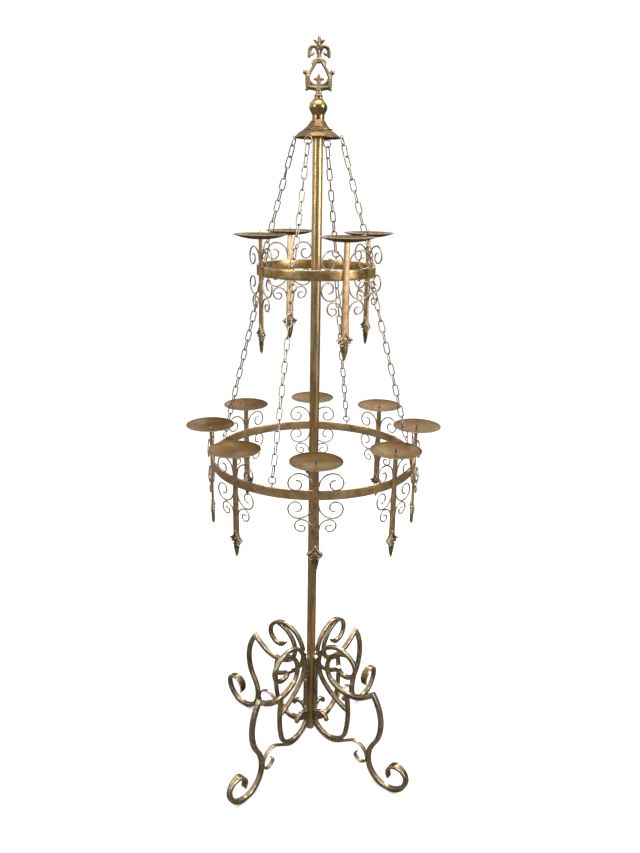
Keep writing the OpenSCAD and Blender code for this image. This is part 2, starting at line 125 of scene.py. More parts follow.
class Sock:
    """One output socket of a node tree; arithmetic on it adds Math nodes."""

    def __init__(self, tree, out=None):
        self.tree = tree
        self.out = out

    def add(self, kind, settings=None, values=None, out=0):
        """Adds a node. Settings are set first, then each socket gets a value or a link."""
        node = self.tree.nodes.new(kind)
        for name, value in (settings or {}).items():
            setattr(node, name, value)
        for key, value in (values or {}).items():
            for one in value if isinstance(value, list) else [value]:
                if isinstance(one, Sock):
                    self.tree.links.new(one.out, node.inputs[key])
                else:
                    node.inputs[key].default_value = one
        return Sock(self.tree, node.outputs[out])

    def math(self, operation, a, b=0.0):
        return self.add("ShaderNodeMath", {"operation": operation}, {0: a, 1: b})

    def __add__(self, other):
        return self.math("ADD", self, other)

    __radd__ = __add__

    def __sub__(self, other):
        return self.math("SUBTRACT", self, other)

    def __rsub__(self, other):
        return self.math("SUBTRACT", other, self)

    def __mul__(self, other):
        return self.math("MULTIPLY", self, other)

    __rmul__ = __mul__

    def __truediv__(self, other):
        return self.math("DIVIDE", self, other)

    def between(self, low, high):
        """0 below low, 1 above high, smooth in between."""
        return self.add("ShaderNodeMapRange", {"interpolation_type": "SMOOTHSTEP"},
                        {"Value": self, "From Min": low, "From Max": high})

    def mix(self, a, b, amount):
        """Colour a where amount is 0, colour b where it is 1."""
        def full(c):
            return c if isinstance(c, Sock) else (*c, 1)
        values = {0: amount, 6: full(a), 7: full(b)}
        return self.add("ShaderNodeMix", {"data_type": "RGBA"}, values, 2)

    def noise(self, vector, scale, detail=3.0, rough=0.5, twist=0.0):
        return self.add("ShaderNodeTexNoise", None,
                        {"Vector": vector, "Scale": scale, "Detail": detail, "Roughness": rough,
                         "Distortion": twist})


def new_tree(name, inputs):
    """Geometry tree with one geometry input and the named inputs; returns it and their sockets."""
    tree = bpy.data.node_groups.new(name, "GeometryNodeTree")
    face = tree.interface
    face.new_socket("Geometry", in_out="INPUT", socket_type="NodeSocketGeometry")
    face.new_socket("Geometry", in_out="OUTPUT", socket_type="NodeSocketGeometry")
    for label, kind, value in inputs:
        socket = face.new_socket(label, in_out="INPUT", socket_type="NodeSocket" + kind)
        if value is not None:
            socket.default_value = value
    entry = tree.nodes.new("NodeGroupInput")
    return tree, {o.name: Sock(tree, o) for o in entry.outputs if o.name}


def close_tree(tree, shape, material):
    """Ends a tree: realizes the instances and gives the material."""
    shape = shape.add("GeometryNodeRealizeInstances", None, {"Geometry": shape})
    shape = shape.add("GeometryNodeSetMaterial", None, {"Geometry": shape, "Material": material})
    end = tree.nodes.new("NodeGroupOutput")
    tree.links.new(shape.out, end.inputs["Geometry"])
    return tree


def smoothed(shape, cut=0.6):
    """Smooth shading, except at edges sharper than the angle cut."""
    angle = shape.add("GeometryNodeInputMeshEdgeAngle")
    sharp = shape.math("GREATER_THAN", angle, cut)
    shape = shape.add("GeometryNodeSetShadeSmooth", {"domain": "FACE"}, {"Geometry": shape})
    return shape.add("GeometryNodeSetShadeSmooth", {"domain": "EDGE"},
                     {"Geometry": shape, "Selection": sharp, "Shade Smooth": False})


def run_tree(obj, tree, inputs, name):
    """Runs a geometry tree on an object and returns its result as a plain mesh object."""
    mod = obj.modifiers.new(tree.name, "NODES")
    mod.node_group = tree
    for item in tree.interface.items_tree:
        if item.in_out == "INPUT" and item.name in inputs:
            mod[item.identifier] = inputs[item.name]
    bpy.context.view_layer.update()
    made = obj.evaluated_get(bpy.context.evaluated_depsgraph_get())
    mesh = bpy.data.meshes.new_from_object(made)
    obj.modifiers.remove(mod)
    bpy.data.objects.remove(obj)
    return new_object(name, mesh)


def new_object(name, data):
    obj = bpy.data.objects.new(name, data)
    SCENE.collection.objects.link(obj)
    return obj


def bars_tree():
    """Hammered bar along every curve: Width lies in the bend's plane, Depth across it."""
    tree, g = new_tree("bent_bar", [
        ("Width", "Float", 0.012), ("Depth", "Float", 0.012), ("Corner", "Float", 0.0015),
        ("Corner Steps", "Int", 3), ("Plane Normal", "Vector", (1, 0, 0)),
        ("Hammer", "Float", 0.0002), ("Hammer Scale", "Float", 60.0), ("Spread", "Float", 1.0),
        ("Spread From", "Float", 0.8), ("Spread To", "Float", 1.0), ("Material", "Material", None)])
    along = g["Geometry"].add("GeometryNodeSplineParameter")
    path = g["Geometry"].add("GeometryNodeStoreNamedAttribute",
                             {"data_type": "FLOAT", "domain": "POINT"},
                             {"Geometry": g["Geometry"], "Name": "along", "Value": along})
    path = path.add("GeometryNodeSetCurveNormal", {"mode": "FREE"},
                    {"Curve": path, "Normal": g["Plane Normal"]})
    section = path.add("GeometryNodeCurvePrimitiveQuadrilateral", {"mode": "RECTANGLE"},
                       {"Width": g["Depth"], "Height": g["Width"]})
    section = path.add("GeometryNodeFilletCurve", {"mode": "POLY"},
                       {"Curve": section, "Count": g["Corner Steps"], "Radius": g["Corner"],
                        "Limit Radius": True})
    size = path.add("GeometryNodeInputRadius")
    bar = path.add("GeometryNodeCurveToMesh", None,
                   {"Curve": path, "Profile Curve": section, "Scale": size, "Fill Caps": True})
    place = bar.add("GeometryNodeInputPosition")
    passed = bar.add("GeometryNodeInputNamedAttribute", {"data_type": "FLOAT"}, {"Name": "along"})
    wider = (g["Spread"] - 1.0) * passed.between(g["Spread From"], g["Spread To"])
    across = bar.add("ShaderNodeVectorMath", {"operation": "MULTIPLY"},
                     {0: place, 1: g["Plane Normal"]})
    push = bar.add("ShaderNodeVectorMath", {"operation": "SCALE"},
                   {"Vector": across, "Scale": wider})
    bar = bar.add("GeometryNodeSetPosition", None, {"Geometry": bar, "Offset": push})
    return finish_bar(tree, g, bar)


def wires_tree():
    """Round wire along every curve, its radius scaled by the curve's own radius."""
    tree, g = new_tree("round_wire", [
        ("Wire Radius", "Float", 0.002), ("Sides", "Int", 12), ("Hammer", "Float", 0.0001),
        ("Hammer Scale", "Float", 90.0), ("Material", "Material", None)])
    path = g["Geometry"]
    section = path.add("GeometryNodeCurvePrimitiveCircle", {"mode": "RADIUS"},
                       {"Resolution": g["Sides"], "Radius": g["Wire Radius"]})
    size = path.add("GeometryNodeInputRadius")
    wire = path.add("GeometryNodeCurveToMesh", None,
                    {"Curve": path, "Profile Curve": section, "Scale": size, "Fill Caps": True})
    return finish_bar(tree, g, wire)


def finish_bar(tree, g, bar):
    """Adds hammer marks to a bar or wire along its normals, and ends its tree."""
    place = bar.add("GeometryNodeInputPosition")
    marks = bar.noise(place, g["Hammer Scale"], 1.5) - 0.5
    out = bar.add("GeometryNodeInputNormal")
    push = bar.add("ShaderNodeVectorMath", {"operation": "SCALE"},
                   {"Vector": out, "Scale": marks * g["Hammer"] * 2.0})
    bar = bar.add("GeometryNodeSetPosition", None, {"Geometry": bar, "Offset": push})
    return close_tree(tree, smoothed(bar), g["Material"])


def around_tree():
    """Copies what it gets around the pole axis at even steps from a first azimuth."""
    tree, g = new_tree("around_the_pole", [
        ("Count", "Int", 4), ("First Azimuth", "Float", 0.0), ("Material", "Material", None)])
    spots = g["Geometry"].add("GeometryNodeMeshLine", {"mode": "OFFSET", "count_mode": "TOTAL"},
                              {"Count": g["Count"], "Offset": (0, 0, 0)})
    index = spots.add("GeometryNodeInputIndex")
    turn = index * (2 * math.pi) / g["Count"] + g["First Azimuth"]
    spin = spots.add("ShaderNodeCombineXYZ", None, {"Z": turn})
    copies = spots.add("GeometryNodeInstanceOnPoints", None,
                       {"Points": spots, "Instance": g["Geometry"], "Rotation": spin})
    return close_tree(tree, copies, g["Material"])


def chain_tree():
    """Chain that hangs down from the origin: end ring, links that cross each other, end ring.

    The first links turn by First Turn each and the others by Turn, so that both end rings face
    their eyes with an odd and with an even number of links.
    """
    tree, g = new_tree("hanging_chain", [
        ("Links", "Int", 10), ("Half Length", "Float", 0.0175), ("Link Width", "Float", 0.0135),
        ("Wire", "Float", 0.003), ("Ring Width", "Float", 0.02), ("Gap", "Float", 0.00003),
        ("Ring Top", "Float", 0.003), ("Turn", "Float", math.pi / 2),
        ("First Turn", "Float", math.pi / 2), ("First Links", "Float", 5.0),
        ("Material", "Material", None)])
    root = g["Geometry"]

    def loop(half, width, sides):
        """Closed link: a circle whose upper and lower halves are moved apart."""
        bow = (width - g["Wire"]) * 0.5
        line = root.add("GeometryNodeCurvePrimitiveCircle", {"mode": "RADIUS"},
                        {"Resolution": 28, "Radius": bow})
        line = root.add("GeometryNodeTransform", None,
                        {"Geometry": line, "Rotation": (math.pi / 2, 0, 0)})
        place = root.add("GeometryNodeInputPosition")
        high = root.add("ShaderNodeSeparateXYZ", None, {0: place}, "Z")
        apart = root.math("SIGN", high) * (half - bow)
        shift = root.add("ShaderNodeCombineXYZ", None, {"Z": apart})
        away = root.math("GREATER_THAN", root.math("ABSOLUTE", high), 0.00001)
        line = root.add("GeometryNodeSetPosition", None,
                        {"Geometry": line, "Selection": away, "Offset": shift})
        section = root.add("GeometryNodeCurvePrimitiveCircle", {"mode": "RADIUS"},
                           {"Resolution": sides, "Radius": g["Wire"] * 0.5})
        return root.add("GeometryNodeCurveToMesh", None,
                        {"Curve": line, "Profile Curve": section})

    ring_half = (g["Ring Width"] - g["Wire"]) * 0.5
    lap = g["Wire"] + g["Gap"]
    pitch = g["Half Length"] * 2.0 - lap
    first = g["Ring Top"] - ring_half * 2.0 + lap - g["Half Length"]
    start = root.add("ShaderNodeCombineXYZ", None, {"Z": first})
    step = root.add("ShaderNodeCombineXYZ", None, {"Z": 0.0 - pitch})
    spots = root.add("GeometryNodeMeshLine", {"mode": "OFFSET", "count_mode": "TOTAL"},
                     {"Count": g["Links"], "Start Location": start, "Offset": step})
    index = root.add("GeometryNodeInputIndex")
    number = index + 1.0
    turned = root.math("MINIMUM", number, g["First Links"])
    angle = turned * g["First Turn"] + (number - turned) * g["Turn"]
    spin = root.add("ShaderNodeCombineXYZ", None, {"Z": angle})
    link = loop(g["Half Length"], g["Link Width"], 10)
    links = root.add("GeometryNodeInstanceOnPoints", None,
                     {"Points": spots, "Instance": link, "Rotation": spin})
    ring = loop(ring_half, g["Ring Width"], 12)
    up = root.add("ShaderNodeCombineXYZ", None, {"Z": g["Ring Top"] - ring_half})
    low = g["Ring Top"] - ring_half * 3.0 + lap - g["Links"] * pitch
    down = root.add("ShaderNodeCombineXYZ", None, {"Z": low})
    top_ring = root.add("GeometryNodeTransform", None, {"Geometry": ring, "Translation": up})
    low_ring = root.add("GeometryNodeTransform", None, {"Geometry": ring, "Translation": down})
    chain = root.add("GeometryNodeJoinGeometry", None, {"Geometry": [links, top_ring, low_ring]})
    return close_tree(tree, smoothed(chain), g["Material"])


BARS = bars_tree()
WIRES = wires_tree()
AROUND = around_tree()
CHAIN = chain_tree()


# Finishes

OLIVE = (0.34, 0.36, 0.19)
BOLE_RED = (0.42, 0.19, 0.085)
# Pale gold for convex edges: partly gilding wear, partly a painted highlight along the edges.
EDGE_WEAR_AND_HIGHLIGHT_GOLD = (0.92, 0.84, 0.66)


def finish_start(name):
    """Empty material; returns it, its tree and the place on the piece."""
    mat = bpy.data.materials.new(name)
    mat.use_nodes = True
    mat.node_tree.nodes.clear()
    root = Sock(mat.node_tree)
    place = root.add("ShaderNodeTexCoord", None, None, "Object")
    return mat, root, place


def finish_end(mat, root, colour, rough, metal, normal, coat):
    """Gives the material its shader."""
    shader = root.add("ShaderNodeBsdfPrincipled", None, {
        "Base Color": colour, "Roughness": rough, "Metallic": metal, "Normal": normal,
        "Coat Weight": coat, "Coat Roughness": 0.3, "Specular IOR Level": 0.5})
    out = mat.node_tree.nodes.new("ShaderNodeOutputMaterial")
    mat.node_tree.links.new(shader.out, out.inputs["Surface"])
    return mat


def shade(colour, part):
    return tuple(c * part for c in colour)


def gilding(name, pale, mid, dark, olive=0.3, bole=0.25, edge_wear_and_highlight_amount=0.5, rough=0.34, grain=1.0,
            mottle=1.0, coat=0.0, speckle=0.6, streak=1.0):
    """Antique gilding over iron: mottled leaf, patina, red bole, specks, pale edges (gilding wear
    plus a painted highlight) and painted shade in recesses.

    Mottle and speckle set how fine the clouds and how strong the specks are; streak below 1
    draws the pattern out along the height.
    """
    mat, root, place = finish_start(name)
    place = root.add("ShaderNodeVectorMath", {"operation": "MULTIPLY"},
                     {0: place, 1: (1, 1, streak)})
    broad = root.noise(place, 9 * mottle, 3, 0.55, 0.4)
    cloud = root.noise(place, 38 * mottle, 4, 0.6, 0.6)
    blots = root.noise(place, 120, 4, 0.65)
    speck = root.noise(place, 460, 2, 0.6)
    tone = (cloud * 0.55 + broad * 0.45).between(0.38, 0.62)
    colour = root.mix(dark, mid, tone)
    colour = root.mix(colour, pale, (blots * 0.6 + broad * 0.4).between(0.50, 0.68) * 0.6)
    green = root.noise(place, 15 * mottle, 2, 0.5, 0.3).between(0.50, 0.66) * olive
    colour = root.mix(colour, OLIVE, green)
    red = root.noise(place, 22 * mottle, 3, 0.6, 0.5).between(0.53, 0.68) * bole
    colour = root.mix(colour, BOLE_RED, red)
    light = speck.between(0.56, 0.72) * speckle
    colour = root.mix(colour, pale, light)
    pits = (1 - speck.between(0.30, 0.47)) * speckle
    colour = root.mix(colour, shade(dark, 0.35), pits)
    point = root.add("ShaderNodeNewGeometry", None, None, "Pointiness")
    # Convex edges (high pointiness) turn pale gold: partly gilding wear, partly a painted
    # highlight.
    edge_wear_and_highlight = point.between(0.505, 0.56) * (blots.between(0.3, 0.6) * 0.7 + 0.3) * edge_wear_and_highlight_amount
    colour = root.mix(colour, EDGE_WEAR_AND_HIGHLIGHT_GOLD, edge_wear_and_highlight)
    # Painted shade: concave places (low pointiness) are darkened towards a very dark brown.
    painted_recess_shade = 1 - point.between(0.43, 0.495)
    colour = root.mix(colour, shade(dark, 0.18), painted_recess_shade * 0.8)
    shine = rough + cloud.between(0.35, 0.7) * 0.12 + pits * 0.3 - edge_wear_and_highlight * 0.1
    metal = 0.98 - pits * 0.3 - red * 0.25 - green * 0.1
    height = blots * 0.6 + speck * 0.4
    normal = root.add("ShaderNodeBump", None,
                      {"Strength": 0.45 * grain, "Distance": 0.0006, "Height": height})
    return finish_end(mat, root, colour, shine, metal, normal, coat)


POLE_GILT = gilding("pole_gilding", (0.95, 0.82, 0.52), (0.83, 0.58, 0.29), (0.52, 0.325, 0.14),
                    rough=0.24, streak=0.12, mottle=2.2, speckle=0.5)
BALL_GILT = gilding("turned_gilding", (0.88, 0.71, 0.42), (0.64, 0.45, 0.21), (0.34, 0.21, 0.08),
                    rough=0.16, coat=0.3, speckle=0.3, grain=0.6)
BELL_GILT = gilding("bell_gilding", (0.44, 0.32, 0.165), (0.25, 0.165, 0.07), (0.12, 0.07, 0.028),
                    rough=0.24, speckle=0.4, olive=0.45)
CAST_GILT = gilding("cast_gilding", (0.80, 0.64, 0.40), (0.36, 0.26, 0.13), (0.085, 0.05, 0.023),
                    edge_wear_and_highlight_amount=1.3, bole=0.4)
BAND_GILT = gilding("ring_gilding", (0.95, 0.84, 0.48), (0.78, 0.55, 0.24), (0.48, 0.295, 0.105),
                    bole=0.55, olive=0.6, rough=0.26, mottle=1.2, speckle=0.4)
WIDE_BAND_GILT = gilding("wide_ring_gilding",
                         (0.95, 0.84, 0.56), (0.93, 0.66, 0.38), (0.60, 0.37, 0.18),
                         bole=0.75, olive=0.75, rough=0.26, mottle=0.5, speckle=0.4)
STEM_GILT = gilding("stem_gilding", (0.90, 0.62, 0.32), (0.70, 0.375, 0.125), (0.34, 0.155, 0.045),
                    bole=0.5, olive=0.15, edge_wear_and_highlight_amount=0.45, mottle=1.6)
WIRE_GILT = gilding("wire_bronze", (0.78, 0.61, 0.45), (0.40, 0.28, 0.195), (0.165, 0.10, 0.072),
                    edge_wear_and_highlight_amount=0.4, rough=0.32, mottle=2.0)
CHAIN_GILT = gilding("chain_bronze", (0.35, 0.28, 0.205), (0.165, 0.115, 0.078),
                     (0.052, 0.028, 0.02), edge_wear_and_highlight_amount=0.5, rough=0.28, mottle=2.5)
LEG_GILT = gilding("leg_gilding", (0.74, 0.60, 0.34), (0.33, 0.215, 0.092), (0.12, 0.07, 0.028),
                   edge_wear_and_highlight_amount=1.0, rough=0.2, speckle=0.2, grain=0.5, mottle=0.8)
DISH_BRONZE = gilding("dish_bronze", (0.262, 0.156, 0.046), (0.182, 0.101, 0.026),
                      (0.113, 0.058, 0.0145), olive=0.25, bole=0.12, rough=0.48, edge_wear_and_highlight_amount=0.4,
                      mottle=0.8, speckle=0.5)
SPIKE_IRON = gilding("spike_bronze", (0.44, 0.33, 0.20), (0.22, 0.16, 0.10), (0.10, 0.07, 0.045))
SCREW_STEEL = gilding("screw_steel", (0.92, 0.88, 0.76), (0.74, 0.66, 0.50), (0.42, 0.34, 0.22),
                      olive=0.1, bole=0.0, rough=0.26)


# Making pieces

def curves(name, paths, cyclic=False):
    """Curve object, one poly line per path; a point is (x, y, z) or (x, y, z, scale), in mm."""
    data = bpy.data.curves.new(name, "CURVE")
    data.dimensions = "3D"
    for path in paths:
        line = data.splines.new("POLY")
        line.points.add(len(path) - 1)
        for point, co in zip(line.points, path):
            point.co = (co[0] * MM, co[1] * MM, co[2] * MM, 1)
            point.radius = co[3] if len(co) > 3 else 1
        line.use_cyclic_u = cyclic
    return new_object(name, data)


def mesh_of(name, points, faces, smooth=0.6):
    """Closed mesh from points in mm, smooth except at edges sharper than the angle."""
    mesh = bpy.data.meshes.new(name)
    mesh.from_pydata([tuple(c * MM for c in p) for p in points], [], faces)
    work = bmesh.new()
    work.from_mesh(mesh)
    bmesh.ops.remove_doubles(work, verts=work.verts, dist=1e-6)
    bmesh.ops.recalc_face_normals(work, faces=work.faces)
    for face in work.faces:
        face.smooth = True
    for edge in work.edges:
        edge.smooth = not (len(edge.link_faces) == 2 and edge.calc_face_angle(0) > smooth)
    work.to_mesh(mesh)
    work.free()
    return new_object(name, mesh)


def lathe(name, profile, centre=(0, 0, 0), steps=96, smooth=0.6):
    """Turned piece: a closed profile of (radius, height) in mm, spun about a vertical axis."""
    points, faces = [], []
    n = len(profile)
    for k in range(steps):
        turn = 2 * math.pi * k / steps
        for r, z in profile:
            points.append((centre[0] + r * math.cos(turn), centre[1] + r * math.sin(turn),
                           centre[2] + z))
    for k in range(steps):
        after = (k + 1) % steps
        for i in range(n):
            j = (i + 1) % n
            a, b, c, d = k * n + i, k * n + j, after * n + j, after * n + i
            a_on_axis = profile[i][0] < 1e-6
            b_on_axis = profile[j][0] < 1e-6
            if a_on_axis and b_on_axis:
                continue
            if a_on_axis:
                faces.append((a, b, c))
            elif b_on_axis:
                faces.append((a, b, d))
            else:
                faces.append((a, b, c, d))
    return mesh_of(name, points, faces, smooth)


def rounded(points, steps):
    """Smooth open curve through (radius, height) points, with steps between two of them."""
    out = []
    n = len(points)
    for i in range(n - 1):
        p = [points[min(max(i + k, 0), n - 1)] for k in (-1, 0, 1, 2)]
        for s in range(steps):
            t = s / steps
            out.append(tuple(
                0.5 * (2 * p[1][c] + (p[2][c] - p[0][c]) * t
                       + (2 * p[0][c] - 5 * p[1][c] + 4 * p[2][c] - p[3][c]) * t * t
                       + (3 * p[1][c] - p[0][c] - 3 * p[2][c] + p[3][c]) * t ** 3)
                for c in (0, 1)))
    out.append(tuple(points[-1]))
    return out


def arc(centre, radius, start, end, step=6):
    """Points on a circle from one angle to another, at most step degrees apart."""
    n = max(2, math.ceil(abs(end - start) / step))
    return [(centre[0] + radius * math.cos(math.radians(start + (end - start) * k / n)),
             centre[1] + radius * math.sin(math.radians(start + (end - start) * k / n)))
            for k in range(n + 1)]


def join(name, objects):
    """Joins plain mesh objects into one."""
    work = bmesh.new()
    for obj in objects:
        work.from_mesh(obj.data)
        bpy.data.objects.remove(obj)
    mesh = bpy.data.meshes.new(name)
    work.to_mesh(mesh)
    work.free()
    return new_object(name, mesh)


def around(obj, count, first, material, name):
    """The piece repeated around the pole, the first copy at an azimuth in degrees."""
    return run_tree(obj, AROUND, {"Count": count, "First Azimuth": math.radians(first),
                                  "Material": material}, name)


def keep(obj, body, nodes, material=None):
    """A finished piece: rides on its body, stands for its nodes, takes its slot."""
    if material is not None:
        obj.data.materials.clear()
        obj.data.materials.append(material)
    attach(obj, body)
    if nodes:
        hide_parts(*nodes)
    return obj


def bars(name, path, width, depth, corner, material, spread=1.0, spread_from=0.8):
    """Bar along a path; it widens to spread times its depth from a share of its length on."""
    return run_tree(curves(name, [path]), BARS,
                    {"Width": width * MM, "Depth": depth * MM, "Corner": corner * MM,
                     "Hammer": 0.25 * MM, "Spread": spread, "Spread From": spread_from,
                     "Material": material}, name)


def wires(name, paths, radius, material, sides=12, hammer=0.1, cyclic=False):
    """Round wires along paths; a cyclic path is a closed loop."""
    return run_tree(curves(name, paths, cyclic), WIRES,
                    {"Wire Radius": radius * MM, "Sides": sides, "Hammer": hammer * MM,
                     "Material": material}, name)


# Pole, canopy, bulb, finial

def pole():
    """Tube from above the floor up to its seat in the canopy."""
    top = CANOPY_Z + CANOPY_SEAT
    inner, length = POLE_R - POLE_WALL, top - POLE_BOTTOM
    tube = [(POLE_R - 0.6, POLE_BOTTOM), (POLE_R, POLE_BOTTOM + 0.6)]
    tube += [(POLE_R, POLE_BOTTOM + length * k / 60) for k in range(1, 60)]
    tube += [(POLE_R, top), (inner, top), (inner, POLE_BOTTOM)]
    keep(lathe("pole_tube", tube, steps=64), "stand", ["pole"], POLE_GILT)


def canopy():
    """Spun bell with a beaded shoulder; inside, a collar that the pole stands in."""
    wall = rounded([(56.4, 0), (57.6, 1.8), (56.4, 4.6), (52.8, 9.0), (47.3, 13.8),
                    (41.6, 17.2)], 5)
    wall += [(40.8, 18.1), (38.2, 18.5), (36.6, 19.2)] + arc((35.4, 20.6), 1.5, -60, 95, 25)
    wall += [(34.4, 22.4)]
    wall += rounded([(33.6, 23.2), (29.4, 26.4), (25.2, 31.0), (21.4, 36.2), (19.4, 39.4)], 5)
    collar = [(18.9, 40), (4, 40), (4, 37), (13.6, 37), (13.6, 14), (16.6, 14), (16.6, 31)]
    lining = [(18.1, 31), (28.4, 23.5), (33.6, 18.6), (36.5, 16.6), (44.5, 11.9), (50, 7),
              (53, 4.2), (53.6, 0.6), (54.6, 0)]
    bell = lathe("canopy_bell", wall + collar + lining, (0, 0, CANOPY_Z))
    keep(bell, "stand", ["canopy"], BELL_GILT)


def bulb():
    """Turned neck, ball and bead, with the peg that sits in the canopy."""
    neck = 15.8
    outer = [(0, -6), (3.8, -6), (3.8, 0), (neck + 1.4, 0)]
    outer += arc((neck + 0.4, 1.5), 1.2, -60, 70, 30)
    outer += [(neck, 3.2), (neck, 9), (neck, 13.6)]
    outer += rounded([(neck + 0.3, 15.6), (18.3, 19.8), (21.4, 25), (22.9, 29.6), (23.2, 32.8),
                      (22.8, 36.2), (21.0, 40.7), (17.8, 45), (13.8, 48.9), (11.4, 51.2)], 4)
    outer += [(11.3, 53.2), (9.8, 54.2), (9.6, 56)]
    outer += arc((9.6, 58), 1.5, -70, 70, 35) + [(9.4, 59.5)]
    outer += [(4, 59.5), (4, 50), (0, 50)]
    ball = lathe("turned_bulb", outer, (0, 0, BULB_Z))
    keep(ball, "stand", ["bulb"], BALL_GILT)


class Casting:
    """Overlapping round limbs that are fused into one smooth casting."""

    def __init__(self):
        self.points = []
        self.faces = []

    def limb(self, path, flat=1.0, sides=12):
        """Tapered limb along (x, y, z, radius) points in mm; flat scales its depth along y."""
        rings = []
        for k, (x, y, z, r) in enumerate(path):
            a, b = path[max(k - 1, 0)], path[min(k + 1, len(path) - 1)]
            ahead = Vector((b[0] - a[0], b[1] - a[1], b[2] - a[2])).normalized()
            rings.append((Vector((x, y, z)), ahead, r))
        caps = ((0.94, 0.34), (0.72, 0.70), (0.38, 0.93))       # radius and reach of a round end
        centre, ahead, r = rings[0]
        head = [(centre - ahead * r * out, ahead, r * size) for size, out in reversed(caps)]
        centre, ahead, r = rings[-1]
        tail = [(centre + ahead * r * out, ahead, r * size) for size, out in caps]
        base = len(self.points)
        rings = head + rings + tail
        for centre, ahead, r in rings:
            side = Vector((0, 1, 0)).cross(ahead).normalized()
            deep = ahead.cross(side).normalized()
            for i in range(sides):
                a = 2 * math.pi * i / sides
                point = centre + side * r * math.cos(a) + deep * r * flat * math.sin(a)
                self.points.append(tuple(point))
        for k in range(len(rings) - 1):
            for i in range(sides):
                j = (i + 1) % sides
                self.faces.append((base + k * sides + i, base + k * sides + j,
                                   base + (k + 1) * sides + j, base + (k + 1) * sides + i))
        top = base + (len(rings) - 1) * sides
        self.faces.append(tuple(base + i for i in range(sides))[::-1])
        self.faces.append(tuple(top + i for i in range(sides)))

    def pair(self, path, flat=1.0):
        """The same limb on both sides of the middle plane."""
        for s in (-1, 1):
            self.limb([(s * x, y, z, r) for x, y, z, r in path], flat)

    def fuse(self, name, voxel, softening):
        """All limbs as one skin of the voxel size in mm, smoothed a number of times."""
        obj = mesh_of(name, self.points, self.faces)
        mod = obj.modifiers.new("fuse", "REMESH")
        mod.mode = "VOXEL"
        mod.voxel_size = voxel * MM
        mod.use_smooth_shade = True
        soft = obj.modifiers.new("soften", "SMOOTH")
        soft.iterations = softening
        soft.factor = 0.5
        bpy.context.view_layer.update()
        made = obj.evaluated_get(bpy.context.evaluated_depsgraph_get())
        mesh = bpy.data.meshes.new_from_object(made)
        bpy.data.objects.remove(obj)
        return new_object(name, mesh)


def finial():
    """Openwork lily: base bar, uprights, a pointed frame with a bowl, and the flower above."""
    cast = Casting()
    stout = 1.16

    def half(points, flat=1.0, y=0):
        cast.pair([(x, y, z, r * stout) for x, z, r in points], flat)

    half([(0, 14, 5.6), (10, 15.5, 5.0), (20, 16.5, 4.4), (27, 16, 4.6), (30, 12.6, 2.8)], 0.95)
    half([(27.0, 17, 4.4), (26.8, 24, 5.4), (27.0, 32, 5.4), (27.6, 40, 4.8), (29.8, 47, 4.0),
          (32.4, 51, 4.8)], 0.95)
    half([(33.4, 52, 5.4), (34.6, 50.6, 4.4)], 0.9)
    half([(26.6, 42, 4.2), (21.8, 51, 3.5), (15.6, 61, 3.2), (9.8, 70, 3.2), (5.0, 78.5, 4.2)],
         1.05)
    half([(6, 21.5, 3.2), (14, 23.4, 3.2), (20.6, 28.4, 3.2), (24.6, 36, 3.0)], 0.9)
    half([(29.4, 13.4, 2.6), (30.2, 9.6, 1.6)], 0.9)
    half([(12.6, 68, 3.8), (15.4, 72.5, 3.2), (14.8, 77, 2.6), (11.4, 79, 2.0)], 1.0)
    half([(1.5, 90, 3.6), (3.8, 99, 3.8), (8.0, 106.4, 3.7), (13.6, 108.8, 3.8), (19.2, 106.4, 4.2),
          (22.6, 100.6, 4.2), (23.6, 94, 4.2), (23.4, 88.6, 4.6), (24.4, 86.6, 3.8)], 0.95)
    half([(20.6, 90.6, 3.0), (16.0, 89.6, 2.4), (12.4, 92.6, 2.2), (12.4, 96.6, 1.8)], 0.95)
    half([(0, 114, 5.4), (6, 118.2, 4.2), (11, 121.4, 2.9), (14.6, 122.6, 1.5)], 0.8)
    half([(0, 19, 3.6), (7, 22, 3.0), (13, 20, 2.6)], 0.9)
    half([(0, 34.5, 4.4), (6.4, 35.8, 3.6), (10.4, 36.6, 2.6), (12.2, 34.4, 1.7)], 0.85)
    cast.limb([(0, 0, 2, 8.4), (0, 0, 5, 7.2), (0, 0, 10, 8.0), (0, 0, 15, 7.0), (0, 0, 22, 5.4),
               (0, 0, 34, 5.2), (0, 0, 42, 3.6), (0, 0, 49.4, 1.0)], 0.95)
    cast.limb([(0, 0, 76, 6.0), (0, 0, 84, 6.0), (0, 0, 94, 4.8), (0, 0, 106, 5.0),
               (0, 0, 115, 6.2), (0, 0, 123, 4.6), (0, 0, 129, 2.9), (0, 0, 134.4, 0.9)], 0.85)
    beads = [(27.0 + 1.4 * math.sin(k * 1.2), 20 + 5.4 * k) for k in range(5)]
    for side in (-1, 1):
        for x, z in beads:
            half([(x, z, 1.9), (x, z + 1.4, 1.9)], 1.0, side * 4.3)
        cast.limb([(0, side * 4.6, 110, 1.5), (0, side * 4.9, 118, 1.5), (0, side * 2.2, 130, 0.9)])
        cast.limb([(0, side * 4.7, 80, 1.6), (0, side * 4.0, 98, 1.4)])
        half([(26.6, 42, 1.3), (15.4, 61, 1.3), (6, 75, 1.3)], 1.0, side * 3.6)
        half([(9, 107.5, 1.1), (14, 109.4, 1.1), (20, 106, 1.1), (23.6, 97, 1.1)], 1.0, side * 3.4)
    top = cast.fuse("finial_casting", 0.7, 2)
    top.data.transform(Matrix.Translation((0, 0, FINIAL_Z * MM)))
    foot = lathe("finial_foot", [(0, -9), (3.8, -9), (3.8, 0), (9.8, 0), (10.5, 0.6), (10.3, 1.4),
                                 (8.2, 2.6), (7.2, 4), (7.2, 7), (0, 7)], (0, 0, FINIAL_Z))
    keep(join("finial_lily", [top, foot]), "stand", ["finial"], CAST_GILT)


# Tiers

def eye_loop(radius, y, z):
    """Closed circle of points in the radial plane, for a wire eye."""
    return [(0, y + radius * math.cos(math.radians(a)), z + radius * math.sin(math.radians(a)))
            for a in range(0, 360, 15)]


